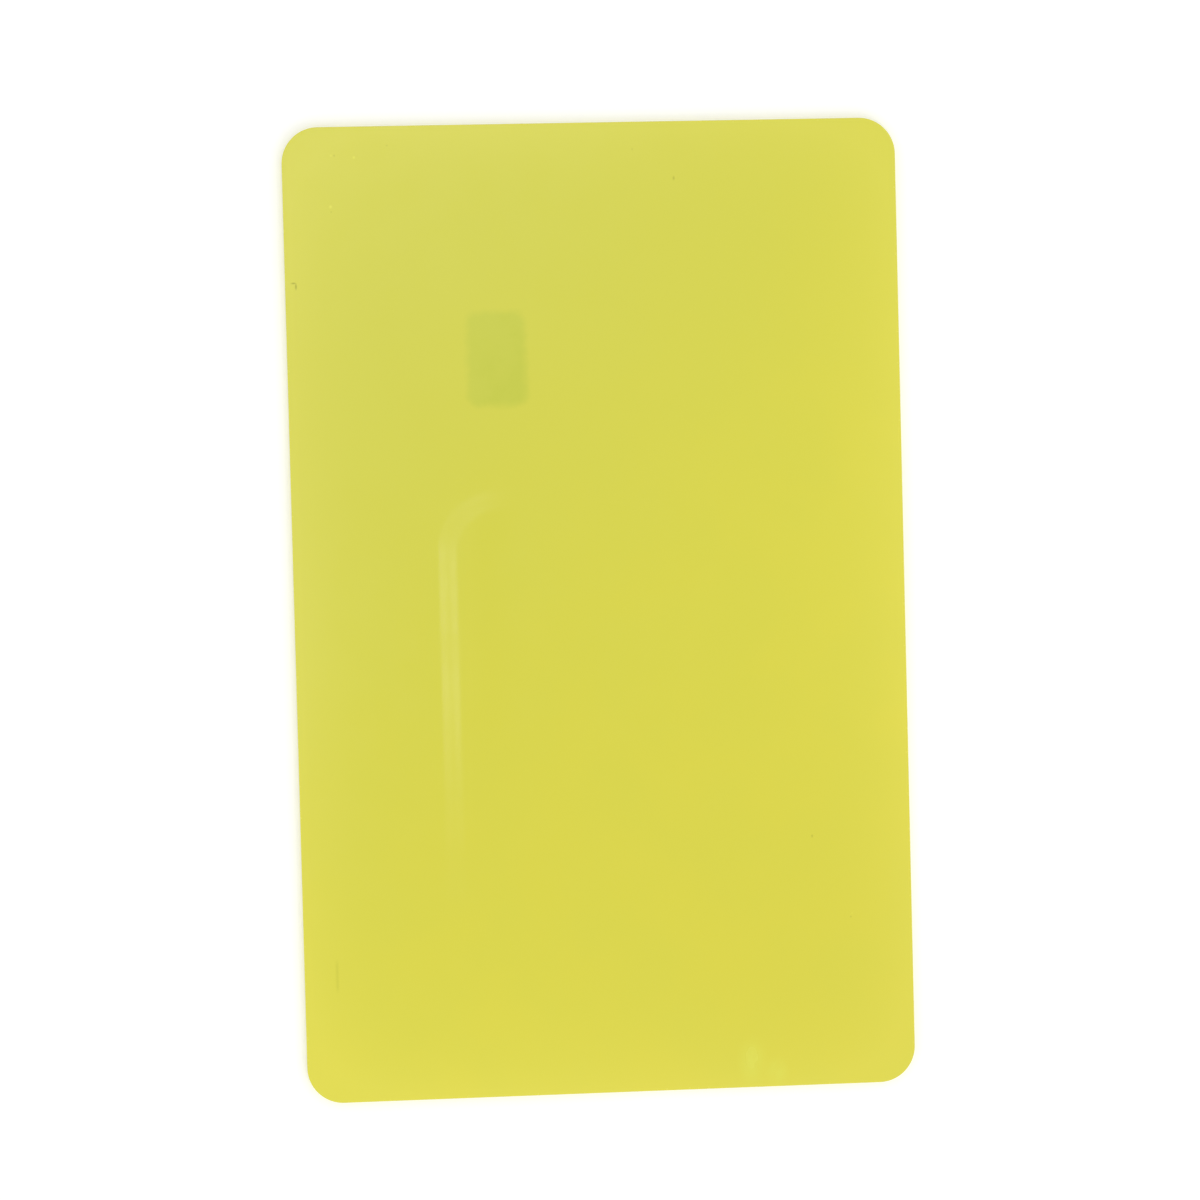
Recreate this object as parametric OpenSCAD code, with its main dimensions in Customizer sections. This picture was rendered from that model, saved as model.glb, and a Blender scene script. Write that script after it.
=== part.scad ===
// Card squeegee: a laminated plastic wallet-size card whose straight edges smooth
// vinyl film down. It is a contactless card blank: seven plastic sheets are fused
// face to face round an inlay with a wire coil and a moulded chip module.
//
// The card lies on its back face, with +Z out of the front face, +Y along the long
// side and the origin at the centre of the back face. All sizes are in millimetres.

/* [Card] */
// Short side of the card, along X
card_w = 53.98; // [42:0.01:70]
// Long side of the card, along Y
card_l = 85.6; // [70:0.1:110]
// Radius of the four corners
corner_r = 3.18; // [2:0.01:5]

/* [Sheets] */
// Clear film on each face
overlay_t = 0.06; // [0.04:0.01:0.1]
// Tinted sheet under each film
core_t = 0.13; // [0.1:0.01:0.2]
// Sheet that closes the inlay over the wire
cover_t = 0.1; // [0.06:0.01:0.15]
// Plastic left under the deepest wire channel
carrier_floor = 0.02; // [0.01:0.01:0.08]

/* [Chip module] */
// Module centre, from the card's left long edge
module_from_left = 18.3; // [16:0.1:22]
// Module centre, from the card's top short edge
module_from_top = 20.5; // [16:0.1:24]
// Module width across the card
module_w = 5.1; // [4.5:0.1:6.2]
// Module length along the card
module_l = 8.2; // [7.5:0.1:10]
// Corner radius of the module's lead frame
module_r = 1; // [0.4:0.1:1.6]
// Thickness of the two metal terminals
frame_t = 0.08; // [0.06:0.01:0.1]
// Width of the slot between the terminals
slot_w = 0.3; // [0.2:0.05:0.5]
// Slot centre, above the module's centre
slot_y = 0.9; // [0.8:0.1:1.2]
// Moulded cap across the card
cap_w = 4.7; // [3.9:0.1:5]
// Moulded cap along the card
cap_l = 4.8; // [4.2:0.1:6]
// Corner radius of the moulded cap
cap_r = 0.5; // [0.2:0.1:0.8]
// Depth of the moulded cap behind the terminals
cap_h = 0.175; // [0.155:0.005:0.25]
// Gap round the module in its window
module_gap = 0.05; // [0.02:0.01:0.1]

/* [Chip] */
// Side of the square silicon die
die_w = 1.1; // [0.8:0.1:1.4]
// Thickness of the die
die_t = 0.09; // [0.07:0.005:0.11]
// Glue film between the die and its terminal
attach_t = 0.015; // [0.01:0.005:0.02]
// Die centre, below the module's centre
die_drop = 0.35; // [0.3:0.05:0.6]
// Diameter of the gold bond wires
bond_d = 0.025; // [0.02:0.005:0.03]
// How far a bond wire's loop stands off the die
loop_h = 0.03; // [0.02:0.005:0.035]
// How far beyond the die's edge the short bond wire lands
short_reach = 0.75; // [0.5:0.05:1]
// How far beyond the slot the long bond wire lands
long_reach = 0.5; // [0.3:0.05:0.8]

/* [Coil] */
// Diameter of the enamelled copper wire
wire_d = 0.1; // [0.08:0.01:0.12]
// Number of turns
turns = 5; // [3:1:6]
// Distance between neighbouring turns
turn_pitch = 0.42; // [0.3:0.01:0.5]
// Outermost turn, from the card's long edges and bottom edge
coil_margin = 13; // [10:0.1:15]
// Outermost turn, from the card's top edge
coil_from_top = 32.4; // [28:0.1:40]
// Corner radius of the outermost turn
coil_r = 5; // [3.5:0.1:6]
// Bend radius of the two leads
lead_r = 1; // [0.6:0.1:1.2]
// First lead, beyond the module's right edge
lead_gap = 1; // [0.8:0.1:1.4]
// Distance between the two leads
lead_pitch = 1.2; // [1:0.1:1.6]
// Wire left beyond the far edge of its terminal
tail_l = 0.5; // [0.3:0.1:1]
// Wire line, from the end of its terminal
bond_inset = 0.8; // [0.6:0.1:1]

/* [Hidden] */

// Clearance round a wire in its channel, and between crossing wires
wire_gap = 0.005;
cross_gap = 0.01;
// Overshoot of a cut beyond the face it opens
cut = 0.05;
// Length of a turn's step inward, and of a wire's slope down to the crossing
step_l = 0.5;
ramp_l = 0.8;
// Sides of the wire tubes, and segments in a quarter turn
wire_sides = 8;
bond_sides = 6;
turn_steps = 8;
lead_steps = 5;
loop_steps = 12;
round_fn = 96;

// The carrier holds two crossing wires, one on the other
carrier_t = 2 * wire_d + cross_gap + 2 * wire_gap + carrier_floor;
// The spacer makes the window as deep as the module
spacer_t = cap_h + frame_t + wire_d + wire_gap - carrier_t;

// Underside of each sheet, from the back face up
back_core_z = overlay_t;
spacer_z = back_core_z + core_t;
carrier_z = spacer_z + spacer_t;
cover_z = carrier_z + carrier_t;
front_core_z = cover_z + cover_t;
front_overlay_z = front_core_z + core_t;

// Wire centres: the coil just under the cover, and the lead that crosses below it
wire_z = cover_z - wire_gap - wire_d / 2;
deep_z = wire_z - wire_d - cross_gap;

// The wire lies on the terminals, and everything in the cap hangs under them
frame_top_z = wire_z - wire_d / 2;
frame_z = frame_top_z - frame_t;
cap_z = frame_z - cap_h;
die_z = frame_z - attach_t - die_t;

module_x = module_from_left - card_w / 2;
module_y = card_l / 2 - module_from_top;
die_y = module_y - die_drop;

// The outermost turn's box, and where the leads run
coil_x = card_w / 2 - coil_margin;
coil_top = card_l / 2 - coil_from_top;
coil_bottom = coil_margin - card_l / 2;
lead_a_x = module_x + module_w / 2 + lead_gap;
lead_b_x = lead_a_x + lead_pitch;
step_x = (lead_a_x + lead_b_x) / 2;
tail_x = module_x - module_w / 2 - tail_l;
low_bond_y = module_y - module_l / 2 + bond_inset;
high_bond_y = module_y + module_l / 2 - bond_inset;
last_y = coil_top - (turns - 1) * turn_pitch;

// ---- Paths ----

// Points of an arc at height z
function arc(x, y, z, r, from, to, steps) = [
    for (i = [0:steps])
        let (a = from + (to - from) * i / steps)
        [x + r * cos(a), y + r * sin(a), z]
];

// One turn, anticlockwise from the top left corner to the top right one
function turn(k) =
    let (
        inset = k * turn_pitch,
        r = coil_r - inset,
        x = coil_x - inset - r,
        top = coil_top - inset - r,
        bottom = coil_bottom + inset + r
    )
    concat(
        arc(-x, top, wire_z, r, 90, 180, turn_steps),
        arc(-x, bottom, wire_z, r, 180, 270, turn_steps),
        arc(x, bottom, wire_z, r, 270, 360, turn_steps),
        arc(x, top, wire_z, r, 0, 90, turn_steps)
    );

// The step from turn k in to the next one
function step_in(k) = [
    [step_x + step_l / 2, coil_top - k * turn_pitch, wire_z],
    [step_x - step_l / 2, coil_top - (k + 1) * turn_pitch, wire_z]
];

// From the lower terminal down to the outermost turn
lead_a = concat(
    [[tail_x, low_bond_y, wire_z]],
    arc(lead_a_x - lead_r, low_bond_y - lead_r, wire_z, lead_r, 90, 0, lead_steps),
    arc(lead_a_x - lead_r, coil_top + lead_r, wire_z, lead_r, 0, -90, lead_steps)
);

// All the turns, from the outermost one in
coil = [
    for (k = [0:turns - 1])
        each concat(turn(k), k < turns - 1 ? step_in(k) : [])
];

// The end of the innermost turn, where the wire starts down to pass below the coil
dive = [lead_b_x + lead_r + ramp_l, last_y, wire_z];

// Below the other turns and out of the coil
under = concat(
    arc(lead_b_x + lead_r, last_y + lead_r, deep_z, lead_r, 270, 180, lead_steps),
    [[lead_b_x, coil_top + lead_r, deep_z]]
);

// Up again and on to the upper terminal
lead_b = concat(
    [[lead_b_x, coil_top + lead_r + ramp_l, wire_z]],
    arc(lead_b_x - lead_r, high_bond_y - lead_r, wire_z, lead_r, 0, 90, lead_steps),
    [[tail_x, high_bond_y, wire_z]]
);

// A bond wire's loop below the die, from the die's face to a terminal
function bond_loop(from, to) = [
    for (i = [0:loop_steps])
        let (
            t = i / loop_steps,
            flat = from + (to - from) * t,
            rise = (frame_z - die_z) * pow(t, 3),
            dip = bond_d / 2 + loop_h * sin(180 * pow(t, 0.7))
        )
        [flat.x, flat.y, die_z + rise - dip]
];

long_loop = bond_loop(
    [module_x + die_w / 4, die_y + die_w / 3],
    [module_x + die_w / 4, module_y + slot_y + slot_w / 2 + long_reach]
);
short_loop = bond_loop(
    [module_x - die_w / 3, die_y - die_w / 4],
    [module_x - die_w / 2 - short_reach, die_y - die_w / 4]
);

// ---- Helpers ----

function unit(v) = v / norm(v);

// Direction of travel at point i of a path
function heading(path, i) =
    unit(path[min(i + 1, len(path) - 1)] - path[max(i - 1, 0)]);

// A round wire along a path
module tube(path, d, sides) {
    rings = len(path);
    points = [
        for (i = [0:rings - 1])
            let (
                ahead = heading(path, i),
                side = unit(cross([0, 0, 1], ahead)),
                up = cross(ahead, side)
            )
            for (s = [0:sides - 1])
                let (a = 360 * s / sides)
                path[i] + d / 2 * (cos(a) * side + sin(a) * up)
    ];
    walls = [
        for (i = [0:rings - 2], s = [0:sides - 1])
            let (n = (s + 1) % sides)
            [i * sides + s, i * sides + n, (i + 1) * sides + n, (i + 1) * sides + s]
    ];
    ends = [
        [for (s = [sides - 1:-1:0]) s],
        [for (s = [0:sides - 1]) (rings - 1) * sides + s]
    ];
    polyhedron(points, concat(walls, ends));
}

// The band that a path's wire covers, seen from above
module band(path, width) {
    sides = [
        for (h = [width / 2, -width / 2])
            [
                for (i = [0:len(path) - 1])
                    let (ahead = heading(path, i), flat = unit([ahead.x, ahead.y]))
                    [path[i].x - h * flat.y, path[i].y + h * flat.x]
            ]
    ];
    last = len(path) - 1;
    polygon(concat(sides[0], [for (i = [last:-1:0]) sides[1][i]]));
}

// A channel for the wire, from just under the height z up past the carrier's face
module channel(path, z) {
    floor_z = z - wire_d / 2 - wire_gap;
    translate([0, 0, floor_z])
        linear_extrude(cover_z + cut - floor_z)
            band(path, wire_d + 2 * wire_gap);
}

module round_rect(w, l, r) {
    square([w - 2 * r, l], center = true);
    square([w, l - 2 * r], center = true);
    for (sx = [-1, 1], sy = [-1, 1])
        translate([sx * (w / 2 - r), sy * (l / 2 - r)])
            circle(r, $fn = round_fn);
}

// A full-size sheet with its underside at height z
module sheet(z, t) {
    translate([0, 0, z])
        linear_extrude(t)
            round_rect(card_w, card_l, corner_r);
}

// A block with the module's outline, grown by a gap, between two heights
module module_block(low, high, gap = 0) {
    translate([module_x, module_y, low])
        linear_extrude(high - low)
            round_rect(module_w + 2 * gap, module_l + 2 * gap, module_r + gap);
}

// A block with the cap's outline, grown by a gap, between two heights
module cap_block(low, high, gap = 0) {
    translate([module_x, module_y, low])
        linear_extrude(high - low)
            round_rect(cap_w + 2 * gap, cap_l + 2 * gap, cap_r + gap);
}

// The part of the module's outline between two lines across it
module frame_piece(low_y, high_y) {
    intersection() {
        module_block(frame_z, frame_top_z);
        translate([module_x - module_w, module_y + low_y, frame_z - cut])
            cube([2 * module_w, high_y - low_y, frame_t + 2 * cut]);
    }
}

// ---- Sheets, from the front face back ----

module front_overlay() {
    color([0.93, 0.93, 0.72]) sheet(front_overlay_z, overlay_t);
}

module front_core() {
    color([0.85, 0.83, 0.31]) sheet(front_core_z, core_t);
}

// Closes the inlay, and fills the window down to the terminals round the two wires
module cover_sheet() {
    color([0.9, 0.89, 0.6]) {
        difference() {
            union() {
                sheet(cover_z, cover_t);
                module_block(frame_top_z, cover_z);
            }
            for (y = [low_bond_y, high_bond_y])
                translate([
                    module_x - module_w, y - wire_d / 2 - wire_gap, frame_top_z - cut
                ])
                    cube([2 * module_w, wire_d + 2 * wire_gap, cover_z - frame_top_z + cut]);
        }
    }
}

// Holds the wire in channels and the terminals in a recess
module carrier_sheet() {
    color([0.88, 0.87, 0.55])
        difference() {
            sheet(carrier_z, carrier_t);
            module_block(frame_z, cover_z + cut, module_gap);
            cap_block(carrier_z - cut, cover_z, module_gap);
            channel(concat(lead_a, coil, [dive]), wire_z);
            channel(concat([dive], under, [lead_b[0]]), deep_z);
            channel(lead_b, wire_z);
        }
}

// Makes room for the moulded cap
module spacer_sheet() {
    color([0.9, 0.89, 0.6])
        difference() {
            sheet(spacer_z, spacer_t);
            cap_block(spacer_z - cut, carrier_z + cut, module_gap);
        }
}

module back_core() {
    color([0.85, 0.83, 0.31]) sheet(back_core_z, core_t);
}

module back_overlay() {
    color([0.93, 0.93, 0.72]) sheet(0, overlay_t);
}

// ---- Inlay ----

// One wire: lower terminal, coil, crossing, upper terminal
module antenna_wire() {
    color([0.72, 0.4, 0.2])
        tube(concat(lead_a, coil, [dive], under, lead_b), wire_d, wire_sides);
}

module upper_terminal() {
    color([0.75, 0.74, 0.7]) frame_piece(slot_y + slot_w / 2, module_l);
}

// The die is glued under this one
module lower_terminal() {
    color([0.75, 0.74, 0.7]) frame_piece(-module_l, slot_y - slot_w / 2);
}

module chip_die() {
    color([0.3, 0.31, 0.36])
        translate([module_x - die_w / 2, die_y - die_w / 2, die_z])
            cube([die_w, die_w, die_t]);
}

module die_adhesive() {
    color([0.8, 0.8, 0.85])
        translate([module_x - die_w / 2, die_y - die_w / 2, die_z + die_t])
            cube([die_w, die_w, attach_t]);
}

module long_bond_wire() {
    color([0.9, 0.72, 0.3]) tube(long_loop, bond_d, bond_sides);
}

module short_bond_wire() {
    color([0.9, 0.72, 0.3]) tube(short_loop, bond_d, bond_sides);
}

// Moulded round the die and its wires, and into the slot between the terminals
module mould_cap() {
    color([0.16, 0.16, 0.17])
        difference() {
            union() {
                cap_block(cap_z, frame_z);
                frame_piece(slot_y - slot_w / 2, slot_y + slot_w / 2);
            }
            chip_die();
            die_adhesive();
            long_bond_wire();
            short_bond_wire();
        }
}

front_overlay();
front_core();
cover_sheet();
carrier_sheet();
spacer_sheet();
back_core();
back_overlay();
antenna_wire();
upper_terminal();
lower_terminal();
chip_die();
die_adhesive();
long_bond_wire();
short_bond_wire();
mould_cap();
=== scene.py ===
# %% [markdown]
# # A card squeegee
# The object is a plastic card of wallet size. It is a stack of thin sheets that heat and pressure
# have fused together, with a wire coil and a chip module sealed inside. Used on its straight edges
# it smooths film down. The design is loaded first and stays fixed. Everything here gives it a
# finish, or stands in for a plain part.

# %% Load the card
import math

import bpy
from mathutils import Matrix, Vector


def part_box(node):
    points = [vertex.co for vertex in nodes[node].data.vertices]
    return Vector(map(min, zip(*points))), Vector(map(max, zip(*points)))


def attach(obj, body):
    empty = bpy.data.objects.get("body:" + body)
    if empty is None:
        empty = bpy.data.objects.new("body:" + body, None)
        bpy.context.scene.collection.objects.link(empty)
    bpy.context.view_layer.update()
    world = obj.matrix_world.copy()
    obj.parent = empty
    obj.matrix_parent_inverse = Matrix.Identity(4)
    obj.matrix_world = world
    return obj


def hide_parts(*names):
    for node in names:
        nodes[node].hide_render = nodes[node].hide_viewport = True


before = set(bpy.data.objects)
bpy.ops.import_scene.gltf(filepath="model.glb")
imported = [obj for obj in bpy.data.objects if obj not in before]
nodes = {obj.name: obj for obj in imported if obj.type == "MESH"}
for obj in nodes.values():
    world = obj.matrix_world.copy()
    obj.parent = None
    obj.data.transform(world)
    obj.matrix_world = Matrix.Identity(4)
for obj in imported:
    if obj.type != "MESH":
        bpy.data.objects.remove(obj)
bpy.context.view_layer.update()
print("pieces in the design:", ", ".join(sorted(nodes)))

# %% [markdown]
# Blender's modelling tools treat points closer than about a thousandth of a millimetre as one when
# a file is in metres. These sheets are a few hundredths of a millimetre thick, so new pieces are
# modelled with one unit to the millimetre, and scaled to metres when they are done.

# %% Units and sizes taken from the design
MM = 0.001


def box_mm(node):
    """The lowest and highest corner of a design piece, in millimetres."""
    low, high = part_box(node)
    return low / MM, high / MM


card_low, card_high = box_mm("carrier_sheet")
CARD_W = card_high.x - card_low.x
CARD_L = card_high.y - card_low.y
CORNER_R = 3.18
half_w = CARD_W / 2
half_l = CARD_L / 2
face_top = box_mm("front_overlay")[1].z
print(f"card {CARD_W:.2f} x {CARD_L:.2f} mm, front face at {face_top:.2f} mm")

# %% [markdown]
# The coil is wound from fine wire in five turns round a rectangle. When the card is pressed, the
# plastic over and inside the coil sinks a little less than the plastic outside it, so the polished
# face has a low rise that follows the coil. The rise needs the line along the middle of the turns,
# which comes from the wire's own mesh: to the right of the middle there is only coil, and no lead.

# %% Find the coil's middle line
TURN_PITCH = 0.42
TURNS = 5
OUTER_TURN_R = 5.0
WIRE_R = 0.05
BAND_HALF = TURN_PITCH * (TURNS - 1) / 2

right_half = [v.co / MM for v in nodes["antenna_wire"].data.vertices if v.co.x > 0]
band_side = max(p.x for p in right_half) - WIRE_R - BAND_HALF
band_top = max(p.y for p in right_half) - WIRE_R - BAND_HALF
band_bottom = min(p.y for p in right_half) + WIRE_R + BAND_HALF
band_centre = (0, (band_top + band_bottom) / 2)
band_half = (band_side, (band_top - band_bottom) / 2)
band_r = OUTER_TURN_R - BAND_HALF
print(f"coil line {2 * band_half[0]:.2f} x {2 * band_half[1]:.2f} mm, radius {band_r:.2f} mm")

# %% [markdown]
# ## Helpers for modelling
# An operator works on everything that is selected, and loading leaves the design selected. So each
# new piece starts by deselecting all, and faces and edges are picked in code by where they are.

# %% Selecting and finishing
def nothing_selected():
    bpy.ops.object.select_all(action="DESELECT")


def pick(piece, mode, test):
    """Selects the piece's faces or edges that pass a test, from object mode."""
    bpy.context.tool_settings.mesh_select_mode = (False, mode == "edges", mode == "faces")
    bpy.ops.object.mode_set(mode="EDIT")
    bpy.ops.mesh.select_all(action="DESELECT")
    bpy.ops.object.mode_set(mode="OBJECT")
    mesh = piece.data
    for item in mesh.polygons if mode == "faces" else mesh.edges:
        item.select = test(mesh, item)
    bpy.ops.object.mode_set(mode="EDIT")


def to_metres(piece):
    """Scales a piece from millimetres to metres, with its place in its mesh."""
    piece.scale = (MM, MM, MM)
    bpy.ops.object.transform_apply(location=True, rotation=True, scale=True)


def hand_over(piece, name, node, material):
    """Names a finished piece, lets it stand for a design piece and gives it its material."""
    piece.name = piece.data.name = name
    piece.data.materials.clear()
    piece.data.materials.append(material)
    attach(piece, "root")
    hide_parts(node)
    print(f"{name}: {len(piece.data.polygons)} faces, {piece.dimensions.z / MM:.3f} mm high")


# %% [markdown]
# ## Helpers for materials
# A material is a sum of masks: how far a point is from an edge, whether it lies over the chip, how
# a grain changes from place to place. Written as Python sums these are short. One small class holds
# a socket and turns + - * / into Math nodes.

# %% Sums of sockets
class Value:
    """A number or vector that varies over a surface, made by a node."""

    def __init__(self, tree, socket):
        self.tree = tree
        self.socket = socket

    def math(self, operation, *others):
        return self.tree.node("ShaderNodeMath", {"operation": operation}, [self, *others])

    def __add__(self, other):
        return self.math("ADD", other)

    def __mul__(self, other):
        return self.math("MULTIPLY", other)

    def __sub__(self, other):
        return self.math("SUBTRACT", other)

    def __truediv__(self, other):
        return self.math("DIVIDE", other)

    def __abs__(self):
        return self.math("ABSOLUTE")

    def at_least(self, other):
        return self.math("MAXIMUM", other)

    def at_most(self, other):
        return self.math("MINIMUM", other)

    def ramp(self, start, end, low=0.0, high=1.0):
        """Goes smoothly from low at start to high at end, and stays there."""
        inputs = {"Value": self, "From Min": start, "From Max": end, "To Min": low, "To Max": high}
        return self.tree.node("ShaderNodeMapRange", {"interpolation_type": "SMOOTHSTEP"}, inputs)


class Finish:
    """A node material that is built up by method calls."""

    def __init__(self, name):
        self.material = bpy.data.materials.new(name)
        self.material.use_nodes = True
        self.nodes = self.material.node_tree.nodes
        self.links = self.material.node_tree.links
        self.shader = self.nodes["Principled BSDF"]
        place = self.node("ShaderNodeTexCoord", out="Object")
        self.place = self.node("ShaderNodeVectorMath", {"operation": "SCALE"}, {0: place, "Scale": 1 / MM})
        self.x = self.node("ShaderNodeSeparateXYZ", inputs=[self.place], out="X")
        self.y = self.node("ShaderNodeSeparateXYZ", inputs=[self.place], out="Y")

    def node(self, kind, settings=None, inputs=None, out=0):
        """Makes a node, sets it up, fills its inputs with numbers or links, and gives one output."""
        made = self.nodes.new(kind)
        for key, setting in (settings or {}).items():
            setattr(made, key, setting)
        pairs = inputs.items() if isinstance(inputs, dict) else enumerate(inputs or [])
        for key, given in pairs:
            if isinstance(given, Value):
                self.links.new(given.socket, made.inputs[key])
            else:
                made.inputs[key].default_value = given
        return Value(self, made.outputs[out])

    def noise(self, scale, detail=2.0, stretch=(1, 1, 1)):
        """Noise from 0 to 1, with scale in cycles to the millimetre."""
        where = self.place
        if stretch != (1, 1, 1):
            where = self.node("ShaderNodeVectorMath", {"operation": "MULTIPLY"}, [where, stretch])
        inputs = {"Vector": where, "Scale": scale, "Detail": detail}
        return self.node("ShaderNodeTexNoise", inputs=inputs)

    def mix(self, share, first, second, blend="MIX"):
        """A colour between two others, or with "ADD" the first with a share of the second on top."""
        paint = [c + (1.0,) if isinstance(c, tuple) else c for c in (first, second)]
        settings = {"data_type": "RGBA", "blend_type": blend}
        return self.node("ShaderNodeMix", settings, {0: share, 6: paint[0], 7: paint[1]}, out=2)

    def set(self, **sockets):
        """Fills the shader's sockets; an underscore in a name stands for a space."""
        for name, given in sockets.items():
            socket = self.shader.inputs[name.replace("_", " ")]
            if isinstance(given, Value):
                self.links.new(given.socket, socket)
            elif isinstance(given, tuple) and len(given) == 3:
                socket.default_value = given + (1.0,)
            else:
                socket.default_value = given

    def relief(self, height_mm):
        """Bends the light as if the surface stood this many millimetres proud."""
        inputs = {"Height": height_mm * MM, "Distance": 1.0, "Strength": 1.0}
        bump = self.node("ShaderNodeBump", inputs=inputs)
        self.links.new(bump.socket, self.shader.inputs["Normal"])

    def beyond_box(self, centre, half, radius):
        """The distance outside a rectangle with round corners, in millimetres, as a Value."""
        out_x = abs(self.x - centre[0]) - (half[0] - radius)
        out_y = abs(self.y - centre[1]) - (half[1] - radius)
        side_x = out_x.at_least(0)
        side_y = out_y.at_least(0)
        corner = (side_x * side_x + side_y * side_y).math("SQRT")
        return corner + out_x.at_least(out_y).at_most(0) - radius

    def from_point(self, x, y, stretch=1.0):
        """The distance from a point on the card, in millimetres, with y shrunk by stretch."""
        dx = self.x - x
        dy = (self.y - y) / stretch
        return (dx * dx + dy * dy).math("SQRT")


ALL_NOISE = (0.2, 0.8)  # noise hardly ever leaves this span
MOST_NOISE = (0.3, 0.7)
MIDDLE_NOISE = (0.35, 0.65)


def on_card(from_left, from_top):
    """A place on the front face, measured from its top left corner."""
    return from_left - CARD_W / 2, CARD_L / 2 - from_top


# %% [markdown]
# ## The card's yellow
# The sheets are tinted with a fluorescent dye, which turns blue light into green-yellow light. So
# the card is brighter than a painted one, and its rim is brightest, because light that is trapped
# in the sheets runs out to the edge. That rim light is painted into the colour as a brighter band,
# and a faint emission paints in the dye's glow. The colour also holds painted light and shade: it
# runs from a cooler yellow at the upper left to a warmer, brighter yellow at the lower right, and a
# painted shade darkens the lower right corner. Both faces share this colour, and each adds what
# shows through it from inside.

# %% Tinted plastic
# Painted light: the colour runs from YELLOW_COOL at the upper left to the brighter YELLOW_WARM at the
# lower right.
YELLOW_COOL = (0.628, 0.619, 0.038)
YELLOW_WARM = (0.753, 0.699, 0.042)
CLOUD = (0.645, 0.640, 0.045)
DRIFT_ACROSS = 0.65
DRIFT_SPAN = (-0.6, 0.56)
CLOUD_CYCLES = 0.12
CLOUD_SHARE = 0.25
# Painted shade: black mixed in over the lower right corner.
SHADE = (0.0, 0.0, 0.0)
SHADE_REACH = 71.5
SHADE_SHARE = 0.077
# Painted light: RIM_GLOW is added to the colour near the rim.
RIM_GLOW = (0.052, 0.040, 0.018)
RIM_DEPTH = 4.0
# Painted glow: a faint emission stands in for the dye's fluorescence.
DYE_GLOW = (0.42, 0.50, 0.02)
FACE_GLOW = 0.02
FILM_IOR = 1.54


def tinted(name):
    """Starts a finish for a face of the card, and gives its colour to be marked further."""
    look = Finish(name)
    # Painted light: cooler yellow at the upper left, warmer and brighter yellow at the lower right.
    across = look.x * (DRIFT_ACROSS / CARD_W) - look.y / CARD_L
    colour = look.mix(across.ramp(*DRIFT_SPAN), YELLOW_COOL, YELLOW_WARM)
    # Painted shade: the lower right corner is darkened towards black.
    shade = look.from_point(half_w, -half_l).ramp(SHADE_REACH, 0, 0, SHADE_SHARE)
    colour = look.mix(shade, colour, SHADE)
    cloud = look.noise(CLOUD_CYCLES, detail=3).ramp(*MOST_NOISE, 0.0, CLOUD_SHARE)
    colour = look.mix(cloud, colour, CLOUD)
    # Painted light: the rim's trapped light is added to the colour as a brighter band.
    side = ((abs(look.x) - half_w) / RIM_DEPTH).math("EXPONENT")
    end = ((abs(look.y) - half_l) / RIM_DEPTH).math("EXPONENT")
    colour = look.mix((side + end).at_most(1), colour, RIM_GLOW, "ADD")
    # Painted glow: a faint emission on the face stands in for the dye's fluorescence.
    look.set(IOR=FILM_IOR, Emission_Color=DYE_GLOW, Emission_Strength=FACE_GLOW)
    inside = look.beyond_box((0, 0), (half_w, half_l), CORNER_R) * -1
    return look, colour, inside


# %% [markdown]
# ## What shows through the front
# The module's metal lies under a quarter of a millimetre of tinted plastic, which blurs its outline
# and leaves a grey-green block. Its place and size come from the two terminals. The block is a
# little darker towards its lower right.

# %% Module seen through the plastic
lower_low, lower_high = box_mm("lower_terminal")
upper_low, upper_high = box_mm("upper_terminal")
cap_low, cap_high = box_mm("mould_cap")
module_centre = ((lower_low.x + lower_high.x) / 2, (lower_low.y + upper_high.y) / 2)
module_half = ((lower_high.x - lower_low.x) / 2, (upper_high.y - lower_low.y) / 2)
MODULE_R = 1.0
BLUR = 0.5
WOBBLE = 0.12
WOBBLE_CYCLES = 1.1
BLOCK_CYCLES = 0.6
BLOCK_SLANT = (0.6, -0.35)
BLOCK_SPAN = (-1.5, 1.9)
MODULE_SHADE = (0.570, 0.597, 0.036)
MODULE_DEEP = (0.548, 0.582, 0.030)
print(f"module centre {module_centre[0]:.2f}, {module_centre[1]:.2f} mm")


def show_module(look, colour):
    """Lays the blurred block of the chip module over a colour."""
    beyond = look.beyond_box(module_centre, module_half, MODULE_R)
    ragged = beyond + look.noise(WOBBLE_CYCLES, detail=1).ramp(*ALL_NOISE, -WOBBLE, WOBBLE)
    side = (look.x - module_centre[0]) * BLOCK_SLANT[0] + (look.y - module_centre[1]) * BLOCK_SLANT[1]
    side = side + look.noise(BLOCK_CYCLES).ramp(*MOST_NOISE, -1, 1)
    block = look.mix(side.ramp(*BLOCK_SPAN), MODULE_SHADE, MODULE_DEEP)
    return look.mix(ragged.ramp(BLUR, -BLUR), colour, block)


# %% [markdown]
# ## Marks of handling
# A used card has a few dark specks and pale nicks, one short scratch near its left edge and a
# greasy smudge at its lower edge. Each mark is a mask round a point, and some are drawn out along
# the card. A scratch is a groove as well, so it also goes into the relief.

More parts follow.
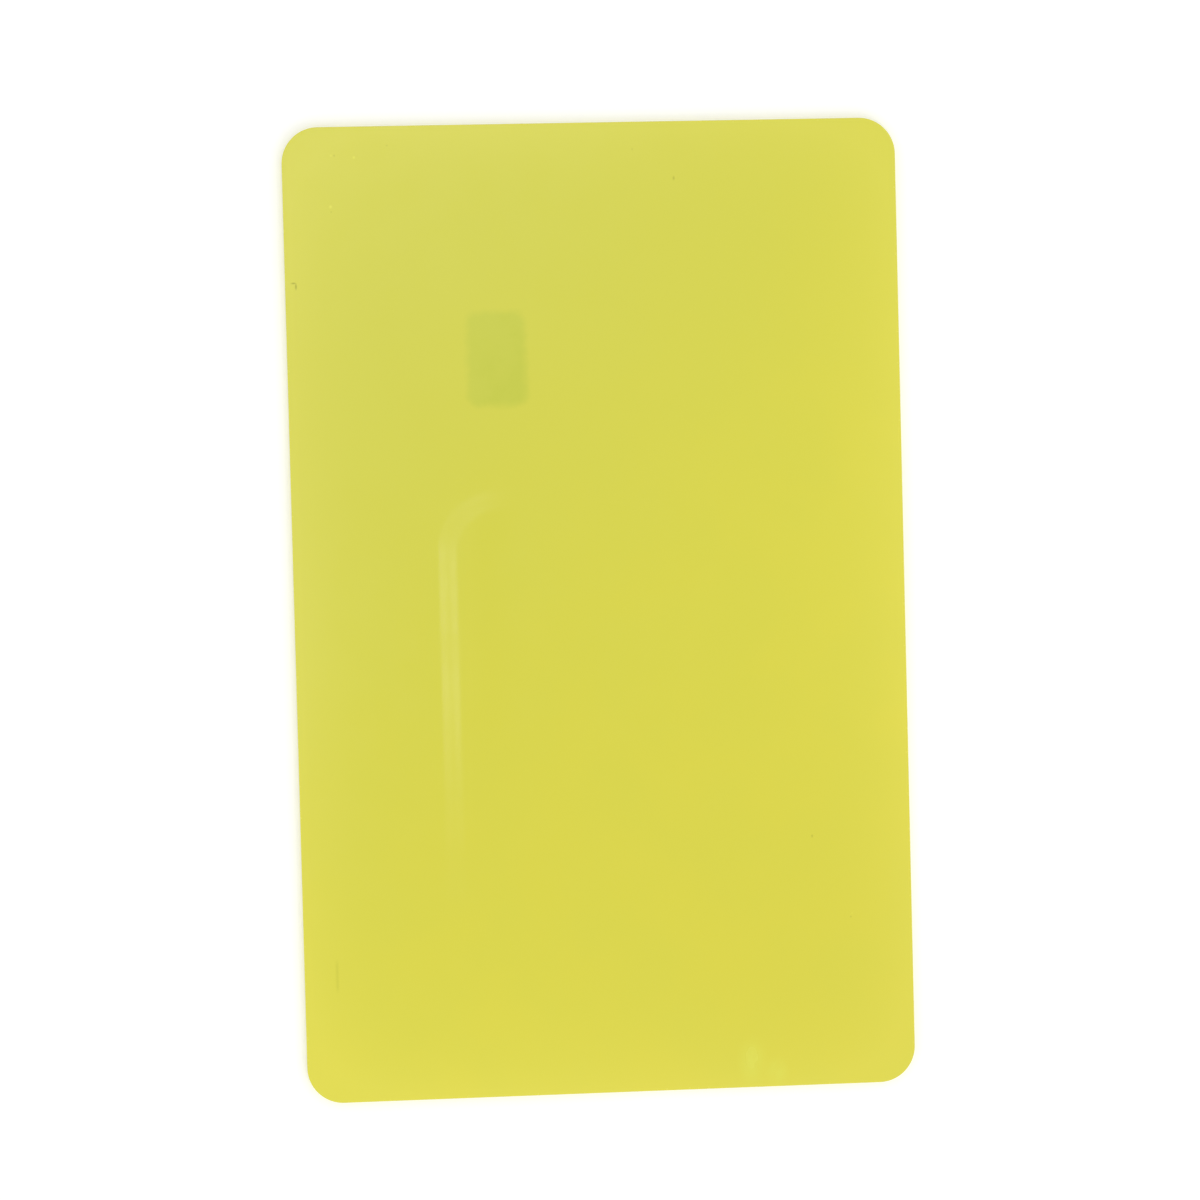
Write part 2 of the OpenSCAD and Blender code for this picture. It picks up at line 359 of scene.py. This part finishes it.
# %% Specks, scratch and smudges
DIRT = (0.30, 0.30, 0.003)
PALE = (0.86, 0.85, 0.10)
MARKS = [
    # from the left edge, from the top edge, radius, length over width, strength, colour
    (0.74, 13.55, 0.32, 0.4, 0.75, DIRT),
    (0.95, 13.85, 0.14, 3.0, 0.75, DIRT),
    (34.3, 5.0, 0.16, 1.8, 0.45, DIRT),
    (30.7, 2.4, 0.13, 1.5, 0.20, DIRT),
    (45.2, 63.4, 0.14, 1.6, 0.40, DIRT),
    (48.5, 70.7, 0.13, 1.0, 0.30, DIRT),
    (48.6, 70.4, 0.12, 1.0, 0.30, PALE),
    (9.2, 1.7, 0.14, 1.0, 0.20, DIRT),
    (4.6, 2.5, 0.13, 1.2, 0.30, DIRT),
    (4.3, 2.5, 0.18, 1.0, 0.30, PALE),
    (6.3, 2.7, 0.18, 1.2, 0.45, PALE),
    (4.2, 7.4, 0.12, 1.0, 0.25, DIRT),
    (4.15, 6.95, 0.20, 1.2, 0.50, PALE),
]
PIT = 0.002
WAVE_CYCLES = 0.55
WAVE_H = 0.0006
HAZE_CYCLES = 0.35
HAZE_SPAN = (0.35, 0.75)
HAZE = 0.05
SMUDGE_GLOW = (0.006, 0.050, 0.016)
SMUDGE_HAZE = 0.15
SMUDGE_CYCLES = 1.3
SMUDGE_STRETCH = (1, 0.4, 1)
SMUDGE_SPAN = (0.2, 0.6)
SMUDGE_FAINTEST = 0.4
SMUDGES = [
    # from the left edge, from the top edge, radius, length over width, strength
    (39.4, 83.4, 1.7, 1.7, 0.8),
    (41.6, 84.3, 1.3, 1.3, 0.8),
    (39.3, 82.7, 0.8, 1.8, 0.25),
]
SCRATCH_COLOUR = (0.40, 0.41, 0.005)
SCRATCH = on_card(2.87, 74.4)
SCRATCH_HALF = 1.7
SCRATCH_W = 0.24
SCRATCH_SHARE = 0.2


def handled(look, colour):
    """Adds the marks to a colour; gives it back with the height and the roughness that they leave."""
    height = look.noise(WAVE_CYCLES).ramp(0, 1, -WAVE_H, WAVE_H)
    rough = look.noise(HAZE_CYCLES, detail=4).ramp(*HAZE_SPAN, 0.0, HAZE)
    for from_left, from_top, radius, stretch, strength, paint in MARKS:
        spot = look.from_point(*on_card(from_left, from_top), stretch).ramp(radius, 0)
        colour = look.mix(spot * strength, colour, paint)
        height = height - spot * PIT
    for from_left, from_top, radius, stretch, strength in SMUDGES:
        blot = look.from_point(*on_card(from_left, from_top), stretch).ramp(radius, 0)
        grease = look.noise(SMUDGE_CYCLES, detail=3, stretch=SMUDGE_STRETCH)
        blot = blot * grease.ramp(*SMUDGE_SPAN, SMUDGE_FAINTEST, 1.0)
        colour = look.mix(blot * strength, colour, SMUDGE_GLOW, "ADD")
        rough = rough + blot * SMUDGE_HAZE
    along = abs(look.y - SCRATCH[1]).ramp(SCRATCH_HALF, SCRATCH_HALF / 2)
    groove = abs(look.x - SCRATCH[0]).ramp(SCRATCH_W, 0) * along
    colour = look.mix(groove * SCRATCH_SHARE, colour, SCRATCH_COLOUR)
    return colour, height - groove * PIT, rough


# %% [markdown]
# ## Wiping marks
# A card that has smoothed down a lot of film is covered in fine straight scratches. They only show
# where they catch the light, so they go into the relief and not into the colour. The rim is scuffed
# matt in patches.

# %% Front of the card
LINE_CYCLES = (9, 0.09)
LINE_PEAKS = (0.70, 0.78)
FRONT_LINES = (0.5, -1.1)
FRONT_LINE_DEPTH = 0.0004
FRONT_ROUGH = 0.12
SCUFF_REACH = 0.5
SCUFF_CYCLES = 2.2
SCUFF_SPAN = (0.45, 0.7)
SCUFF_HAZE = 0.2


def hairlines(look, turns):
    """Fine straight scratches that run at each of these angles, as one mask."""
    masks = []
    for turn in turns:
        across = look.x * math.cos(turn) + look.y * math.sin(turn)
        along = look.y * math.cos(turn) - look.x * math.sin(turn)
        stretched = [across * LINE_CYCLES[0], along * LINE_CYCLES[1], 0.0]
        where = look.node("ShaderNodeCombineXYZ", inputs=stretched)
        line = look.node("ShaderNodeTexNoise", inputs={"Vector": where, "Scale": 1.0, "Detail": 0.0})
        masks.append(line.ramp(*LINE_PEAKS))
    return sum(masks[1:], masks[0])


def scuffs(look, inside):
    """How much rougher the face is near the rim."""
    patches = look.noise(SCUFF_CYCLES, detail=3).ramp(*SCUFF_SPAN)
    return inside.ramp(SCUFF_REACH, 0.0) * patches * SCUFF_HAZE


def front_finish():
    look, colour, inside = tinted("front_clear_film")
    colour = show_module(look, colour)
    colour, height, rough = handled(look, colour)
    height = height - hairlines(look, FRONT_LINES) * FRONT_LINE_DEPTH
    look.set(Base_Color=colour, Roughness=(rough + scuffs(look, inside) + FRONT_ROUGH).at_most(1))
    look.relief(height)
    return look.material


# %% [markdown]
# ## What shows through the back
# From behind, the black moulded cap lies nearest, under a fifth of a millimetre of plastic, so it
# shows darker than the module does from the front. The ends of the terminals stand out on both
# sides of it.

# %% Back of the card
CAP_SHADE = (0.26, 0.29, 0.035)
CAP_SHARE = 0.8
CAP_R = 0.5
BACK_LINES = (0.2, 1.4, -0.7)
BACK_LINE_DEPTH = 0.0005
BACK_LINE_HAZE = 0.05
BACK_WAVE_H = 0.001
BACK_HAZE_CYCLES = 0.3
BACK_ROUGH = (0.2, 0.3)
cap_centre = ((cap_low.x + cap_high.x) / 2, (cap_low.y + cap_high.y) / 2)
cap_half = ((cap_high.x - cap_low.x) / 2, (cap_high.y - cap_low.y) / 2)


def back_finish():
    look, colour, inside = tinted("back_clear_film")
    colour = show_module(look, colour)
    cap = look.beyond_box(cap_centre, cap_half, CAP_R).ramp(BLUR, -BLUR)
    colour = look.mix(cap * CAP_SHARE, colour, CAP_SHADE)
    lines = hairlines(look, BACK_LINES)
    height = look.noise(WAVE_CYCLES) * BACK_WAVE_H - lines * BACK_LINE_DEPTH
    rough = look.noise(BACK_HAZE_CYCLES, detail=4).ramp(*HAZE_SPAN, *BACK_ROUGH)
    rough = (rough + scuffs(look, inside) + lines * BACK_LINE_HAZE).at_most(1)
    look.set(Base_Color=colour, Roughness=rough)
    look.relief(height)
    return look.material


# %% [markdown]
# ## The rise over the coil
# Outside the coil the face is level. It climbs over the turns in two low steps, and falls back
# slowly on the inside. A light high on the left is mirrored in the slope of each step, which gives
# the double streak down the left side of the coil. The rise is less than a tenth of a millimetre
# high. It is strongest on the left and dies out to the right.

# %% Height of the rise
STEP_H = 0.037
STEP_W = 1.1
STEP_MIDDLES = (0.74, -0.16)
RISE_H = STEP_H * len(STEP_MIDDLES)
FALL_START = -0.7
FALL_END = -7.5
STRONG_TO = -11.5
GONE_FROM = -7.0


def smooth(value, start, end):
    """Goes smoothly from 0 at start to 1 at end, and stays there."""
    share = min(max((value - start) / (end - start), 0), 1)
    return share * share * (3 - 2 * share)


def rise_share(x, y):
    """How high the face stands at a place on the card, as a share of the full rise."""
    out_x = abs(x - band_centre[0]) - (band_half[0] - band_r)
    out_y = abs(y - band_centre[1]) - (band_half[1] - band_r)
    beyond = math.hypot(max(out_x, 0), max(out_y, 0)) + min(max(out_x, out_y), 0) - band_r
    steps = [smooth(beyond, middle + STEP_W / 2, middle - STEP_W / 2) for middle in STEP_MIDDLES]
    share = sum(steps) / len(steps) - smooth(beyond, FALL_START, FALL_END)
    return share * (1 - smooth(x, STRONG_TO, GONE_FROM))


# %% [markdown]
# The face is one flat polygon, which can't bend. So it is bisected into blocks, and the blocks over
# the left of the coil are cut into narrow strips both ways, close together where the face bends. A
# displace modifier then lifts each point by its share of the rise.

# %% Raising the face
NEAR = 0.001
LEVEL = 0.999
OUTSIDE = 1.4
BEFORE_FADE = 0.5
PAST_BEND = 0.3
rise_x = (-band_side - OUTSIDE, STRONG_TO - BEFORE_FADE, GONE_FROM)
rise_y = (
    band_bottom - OUTSIDE,
    band_bottom + band_r + PAST_BEND,
    band_top - band_r - PAST_BEND,
    band_top + OUTSIDE,
)
COLUMN_CUTS = (17, 21)
ROW_CUTS = (29, 9, 29)


def on_face(mesh, face):
    return face.normal.z > LEVEL and abs(face.center.z - face_top) < NEAR


def cut_strips(piece, axis, start, end, cuts):
    """Cuts the facets of the rise between two places along an axis into equal strips."""
    other = 1 - axis
    sides = (rise_x, rise_y)[other]

    def runs_along(mesh, edge):
        one, two = [mesh.vertices[i].co for i in edge.vertices]
        low, high = sorted((one[axis], two[axis]))
        level = min(one.z, two.z) > face_top - NEAR and abs(one[other] - two[other]) < NEAR
        inside = sides[0] - NEAR < one[other] < sides[-1] + NEAR
        return level and inside and abs(low - start) < NEAR and abs(high - end) < NEAR

    pick(piece, "edges", runs_along)
    bpy.ops.mesh.subdivide(number_cuts=cuts)
    bpy.ops.object.mode_set(mode="OBJECT")


def raise_over_coil(piece):
    """Lifts the open face of the front film over the left of the coil."""
    for axis, places in ((0, rise_x), (1, rise_y)):
        for place in places:
            pick(piece, "faces", on_face)
            plane = Vector((0, 0, 0))
            plane[axis] = 1
            bpy.ops.mesh.bisect(plane_co=plane * place, plane_no=plane)
            bpy.ops.object.mode_set(mode="OBJECT")
    for axis, places, cuts in ((0, rise_x, COLUMN_CUTS), (1, rise_y, ROW_CUTS)):
        for start, end, number in zip(places, places[1:], cuts):
            cut_strips(piece, axis, start, end, number)
    shares = piece.vertex_groups.new(name="rise")
    for v in piece.data.vertices:
        if v.co.z > face_top - NEAR:
            shares.add([v.index], rise_share(v.co.x, v.co.y), "REPLACE")
    bpy.ops.object.modifier_add(type="DISPLACE")
    lift = piece.modifiers[-1]
    lift.direction = "Z"
    lift.mid_level = 0
    lift.strength = RISE_H
    lift.vertex_group = shares.name
    bpy.ops.object.modifier_apply(modifier=lift.name)
    piece.vertex_groups.clear()


# %% [markdown]
# ## The clear films
# Each face is a clear film that is punched out with the card. It starts as a block. Its upright
# edges are bevelled to the card's corner radius, and then the rim of its open face gets a much
# smaller bevel, because the punch drags the rim over as it cuts. Only the front film has the rise.

# %% Films
CORNER_STEPS = 24
RIM_ROLL = 0.04
ROLL_STEPS = 4
SMOOTH_UP_TO = math.radians(30)


def upright(mesh, edge):
    ends = [mesh.vertices[i].co for i in edge.vertices]
    return abs(ends[0].z - ends[1].z) > abs(ends[0].x - ends[1].x) + abs(ends[0].y - ends[1].y)


def film(name, node, material, outward):
    """One clear film; outward is 1 for the front face and -1 for the back face."""
    low, high = box_mm(node)
    middle = (low.z + high.z) / 2
    nothing_selected()
    bpy.ops.mesh.primitive_cube_add(size=1, location=(low + high) / 2, scale=high - low)
    piece = bpy.context.object
    bpy.ops.object.transform_apply(location=True, rotation=True, scale=True)
    pick(piece, "edges", upright)
    bpy.ops.mesh.bevel(offset=CORNER_R, segments=CORNER_STEPS)
    bpy.ops.object.mode_set(mode="OBJECT")

    def on_rim(mesh, edge):
        return all((mesh.vertices[i].co.z - middle) * outward > 0 for i in edge.vertices)

    pick(piece, "edges", on_rim)
    bpy.ops.mesh.bevel(offset=RIM_ROLL, segments=ROLL_STEPS)
    bpy.ops.object.mode_set(mode="OBJECT")
    if outward > 0:
        raise_over_coil(piece)
    bpy.ops.object.shade_smooth_by_angle(angle=SMOOTH_UP_TO)
    bpy.ops.object.modifier_add(type="WEIGHTED_NORMAL")
    piece.modifiers[-1].keep_sharp = True
    bpy.ops.object.modifier_apply(modifier=piece.modifiers[-1].name)
    to_metres(piece)
    hand_over(piece, name, node, material)


film("front_film", "front_overlay", front_finish(), 1)
film("back_film", "back_overlay", back_finish(), -1)

# %% [markdown]
# ## The sheets between
# The tinted cores and the paler inlay sheets keep the shape that they have in the design. Only
# their cut edges show, as bands of slightly different yellow. A punch drags fine lines down those
# edges, so the relief is a noise that changes fast along the edge and hardly at all down it.

# %% Cut edges
CORE_EDGE = (0.66, 0.62, 0.040)
CORE_EDGE_DARK = (0.56, 0.54, 0.030)
INLAY_EDGE = (0.73, 0.71, 0.16)
INLAY_EDGE_DARK = (0.64, 0.63, 0.10)
EDGE_GLOW = 0.05
EDGE_ROUGH = (0.35, 0.6)
DRAG_SPAN = (0.35, 0.7)
DRAG_CYCLES = 6.0
DRAG_STRETCH = (1, 1, 0.06)
DRAG_DEPTH = 0.006


def edge_finish(name, light, dark):
    look = Finish(name)
    drag = look.noise(DRAG_CYCLES, detail=3, stretch=DRAG_STRETCH)
    colour = look.mix(drag.ramp(*DRAG_SPAN), light, dark)
    # Painted glow: a faint emission on the cut edges stands in for the dye's fluorescence.
    look.set(IOR=FILM_IOR, Emission_Color=DYE_GLOW, Emission_Strength=EDGE_GLOW)
    look.set(Base_Color=colour, Roughness=drag.ramp(*MOST_NOISE, *EDGE_ROUGH))
    look.relief(drag * DRAG_DEPTH)
    return look.material


core_material = edge_finish("tinted_core", CORE_EDGE, CORE_EDGE_DARK)
inlay_material = edge_finish("inlay_plastic", INLAY_EDGE, INLAY_EDGE_DARK)

# %% [markdown]
# ## The pieces sealed inside
# None of these shows directly, but each has its own finish, so the card can be taken apart. The
# coil's wire is copper under a thin red-brown enamel, worn brighter in places.

# %% Copper wire
ENAMEL = (0.58, 0.20, 0.07)
WORN_ENAMEL = (0.78, 0.36, 0.16)
WORN_CYCLES = 3.0
WORN_SPAN = (0.4, 0.65)
COPPER_ROUGH = (0.22, 0.4)
ENAMEL_COAT = 0.6
ENAMEL_ROUGH = 0.1
DRAWN_CYCLES = 14
DRAWN_DEPTH = 0.0008


def copper_finish():
    look = Finish("enamelled_copper")
    patches = look.noise(WORN_CYCLES, detail=3)
    colour = look.mix(patches.ramp(*WORN_SPAN), ENAMEL, WORN_ENAMEL)
    look.set(Base_Color=colour, Metallic=1.0, Coat_Weight=ENAMEL_COAT, Coat_Roughness=ENAMEL_ROUGH)
    look.set(Roughness=patches.ramp(*MOST_NOISE, *COPPER_ROUGH))
    look.relief(look.noise(DRAWN_CYCLES) * DRAWN_DEPTH)
    return look.material


# %% [markdown]
# The terminals are stamped from silver-plated strip, which keeps the rolling mill's fine lines.
# Bond wires are drawn gold.

# %% Plated strip and gold
SILVER = (0.80, 0.79, 0.76)
SILVER_DARK = (0.56, 0.55, 0.53)
GOLD = (0.95, 0.72, 0.30)
GOLD_DARK = (0.78, 0.52, 0.18)
ROLL_STRETCH = (1, 0.04, 1)
ROLL_DEPTH = 0.0006
METAL_ROUGH = (0.18, 0.36)
STAIN_CYCLES = 0.9
STAIN_SPAN = (0.45, 0.75)
STAIN_SHARE = 0.25


def rolled_metal(name, light, dark, lines_mm):
    """Metal with fine lines along it; lines_mm is how many there are to the millimetre."""
    look = Finish(name)
    lines = look.noise(lines_mm, detail=4, stretch=ROLL_STRETCH)
    stain = look.noise(STAIN_CYCLES).ramp(*STAIN_SPAN)
    colour = look.mix(lines.ramp(*MIDDLE_NOISE), dark, light)
    colour = look.mix(stain * STAIN_SHARE, colour, dark)
    look.set(Base_Color=colour, Metallic=1.0, Roughness=lines.ramp(*MOST_NOISE, *METAL_ROUGH))
    look.relief(lines * ROLL_DEPTH)
    return look.material


plated_material = rolled_metal("plated_strip", SILVER, SILVER_DARK, lines_mm=22)
gold_material = rolled_metal("drawn_gold", GOLD, GOLD_DARK, lines_mm=60)

# %% [markdown]
# The cap is black epoxy, filled with glass powder that gives it a fine grain. The glue under the
# chip holds silver flakes.

# %% Epoxy and glue
EPOXY = (0.012, 0.012, 0.013)
GLASS_POWDER = (0.10, 0.10, 0.10)
GLUE = (0.42, 0.42, 0.43)
SILVER_FLAKE = (0.80, 0.80, 0.80)
FLECK_SPAN = (0.25, 0.1)
FLECKED_SPAN = (0.45, 0.6)
CELL = 0.6
ROUGH_SWING = 0.1
GRAIN_DEPTH = 0.003


def grainy(name, base, grain_colour, grain_mm, share, rough):
    """Cured resin with flecks in it; grain_mm is how many grains there are to the millimetre."""
    look = Finish(name)
    cell = {"Vector": look.place, "Scale": grain_mm}
    grain = look.node("ShaderNodeTexVoronoi", inputs=cell, out="Distance")
    fleck = grain.ramp(*FLECK_SPAN) * look.noise(grain_mm / 3).ramp(*FLECKED_SPAN)
    look.set(Base_Color=look.mix(fleck * share, base, grain_colour))
    look.set(Roughness=grain.ramp(0, CELL, rough - ROUGH_SWING, rough + ROUGH_SWING))
    look.relief(look.noise(grain_mm, detail=3) * GRAIN_DEPTH)
    return look.material


epoxy_material = grainy("black_epoxy", EPOXY, GLASS_POWDER, grain_mm=18, share=0.6, rough=0.55)
glue_material = grainy("silver_glue", GLUE, SILVER_FLAKE, grain_mm=30, share=0.9, rough=0.4)

# %% [markdown]
# The chip's face is silicon, in faint violets and greens, with the lines between its blocks of
# circuits a little paler.

# %% Silicon
DIE_VIOLET = (0.10, 0.09, 0.14)
DIE_GREEN = (0.13, 0.16, 0.15)
TRACKS = (0.30, 0.29, 0.30)
TRACK_CYCLES = 9.0
TRACK_W = 0.03
TRACK_DEPTH = 0.0005
TONE_CYCLES = 5
DIE_METALLIC = 0.4
DIE_ROUGH = (0.12, 0.22)


def silicon_finish():
    look = Finish("silicon")
    bricks = {"Vector": look.place, "Scale": TRACK_CYCLES, "Mortar Size": TRACK_W}
    blocks = look.node("ShaderNodeTexBrick", inputs=bricks, out="Fac")
    tone = look.noise(TONE_CYCLES, detail=0)
    colour = look.mix(tone.ramp(*MIDDLE_NOISE), DIE_VIOLET, DIE_GREEN)
    colour = look.mix(blocks, colour, TRACKS)
    rough = tone.ramp(*MOST_NOISE, *DIE_ROUGH)
    look.set(Base_Color=colour, Metallic=DIE_METALLIC, Roughness=rough)
    look.relief(blocks * TRACK_DEPTH)
    return look.material


# %% [markdown]
# The design's own pieces now take these finishes. Their shapes stay untouched.

# %% Give the design its finishes
finishes = {
    "front_core": core_material,
    "back_core": core_material,
    "cover_sheet": inlay_material,
    "carrier_sheet": inlay_material,
    "spacer_sheet": inlay_material,
    "antenna_wire": copper_finish(),
    "upper_terminal": plated_material,
    "lower_terminal": plated_material,
    "long_bond_wire": gold_material,
    "short_bond_wire": gold_material,
    "chip_die": silicon_finish(),
    "die_adhesive": glue_material,
    "mould_cap": epoxy_material,
}
for node_name, material in finishes.items():
    mesh = nodes[node_name].data
    mesh.materials.clear()
    mesh.materials.append(material)
print(f"{len(finishes)} design pieces have a finish")

# %% [markdown]
# ## Table, light and camera
# The card lies on a white table in front of a white backdrop. The rise over the coil mirrors a
# softbox high on the left. A soft bright patch on the ceiling pales the upper left of the face, and
# a warmer light comes from the lower right.

# %% Table
TABLE_SIZE = 3.0
TABLE_DROP = 0.00002
PAPER = (0.93, 0.93, 0.93)
PAPER_BRIGHT = (0.95, 0.95, 0.95)
PAPER_CYCLES = 0.02
PAPER_ROUGH = 0.9
WHITE = (1.0, 1.0, 1.0)
TABLE_GLOW = 0.15

nothing_selected()
bpy.ops.mesh.primitive_plane_add(size=TABLE_SIZE, location=(0, 0, -TABLE_DROP))
table = bpy.context.object
table.name = "table"
paper = Finish("white_table")
paper.set(Base_Color=paper.mix(paper.noise(PAPER_CYCLES).ramp(*MOST_NOISE), PAPER, PAPER_BRIGHT))
paper.set(Roughness=PAPER_ROUGH, Emission_Color=WHITE, Emission_Strength=TABLE_GLOW)
table.data.materials.append(paper.material)

# %% Lights
def softbox(name, place, aim, size, radiance, colour):
    """A rectangular light; radiance is its brightness as seen, with 1 for white paper in full light."""
    nothing_selected()
    bpy.ops.object.light_add(type="AREA", location=place)
    light = bpy.context.object
    light.name = name
    light.data.shape = "RECTANGLE"
    light.data.size, light.data.size_y = size
    light.data.energy = radiance * math.pi * size[0] * size[1]
    light.data.color = colour
    light.rotation_euler = (Vector(aim) - Vector(place)).to_track_quat("-Z", "Y").to_euler()


softbox(
    "left_softbox",
    place=(-0.18, -0.083, 2.0),
    aim=(-0.18, -0.083, 0),
    size=(0.193, 0.165),
    radiance=1.75,
    colour=(0.97, 0.99, 1.0),
)
softbox(
    "warm_fill",
    place=(0.30, -0.55, 0.60),
    aim=(0, 0, 0),
    size=(0.5, 0.5),
    radiance=1.5,
    colour=(1.0, 0.96, 0.90),
)

# %% Room
BACKDROP_TOP = 0.34
BACKDROP_GLOW = 0.155


class Room(Finish):
    """The studio: a lit backdrop, a plainer ceiling, and a soft bright patch on the ceiling."""

    def __init__(self, patch_towards, patch_edge, plain, bright):
        self.world = bpy.data.worlds.new("studio")
        self.world.use_nodes = True
        self.nodes = self.world.node_tree.nodes
        self.links = self.world.node_tree.links
        way = self.node("ShaderNodeTexCoord", out="Generated")
        towards = tuple(Vector(patch_towards).normalized())
        near = self.node("ShaderNodeVectorMath", {"operation": "DOT_PRODUCT"}, [way, towards], out="Value")
        strength = near.math("ARCCOSINE").ramp(patch_edge, 0.0, plain, bright)
        height = self.node("ShaderNodeSeparateXYZ", inputs=[way], out="Z")
        strength = strength + height.ramp(BACKDROP_TOP, BACKDROP_TOP / 2, 0.0, BACKDROP_GLOW)
        self.links.new(strength.socket, self.nodes["Background"].inputs["Strength"])
        self.nodes["Background"].inputs["Color"].default_value = WHITE + (1.0,)


room = Room(patch_towards=(-0.013, 0.149, 1.0), patch_edge=0.229, plain=0.86, bright=2.05)
bpy.context.scene.world = room.world

# %% Camera
CAMERA_PLACE = (-0.0216, 0.0107, 0.2937)
CAMERA_TURN = (-1.81, -4.24, -1.46)
LENS = 100
SENSOR = 36
NEAREST = 0.01

nothing_selected()
bpy.ops.object.camera_add(location=CAMERA_PLACE)
camera = bpy.context.object
camera.rotation_euler = [math.radians(turn) for turn in CAMERA_TURN]
camera.data.lens = LENS
camera.data.sensor_width = SENSOR
camera.data.clip_start = NEAREST
bpy.context.scene.camera = camera
bpy.context.scene.view_settings.view_transform = "Standard"
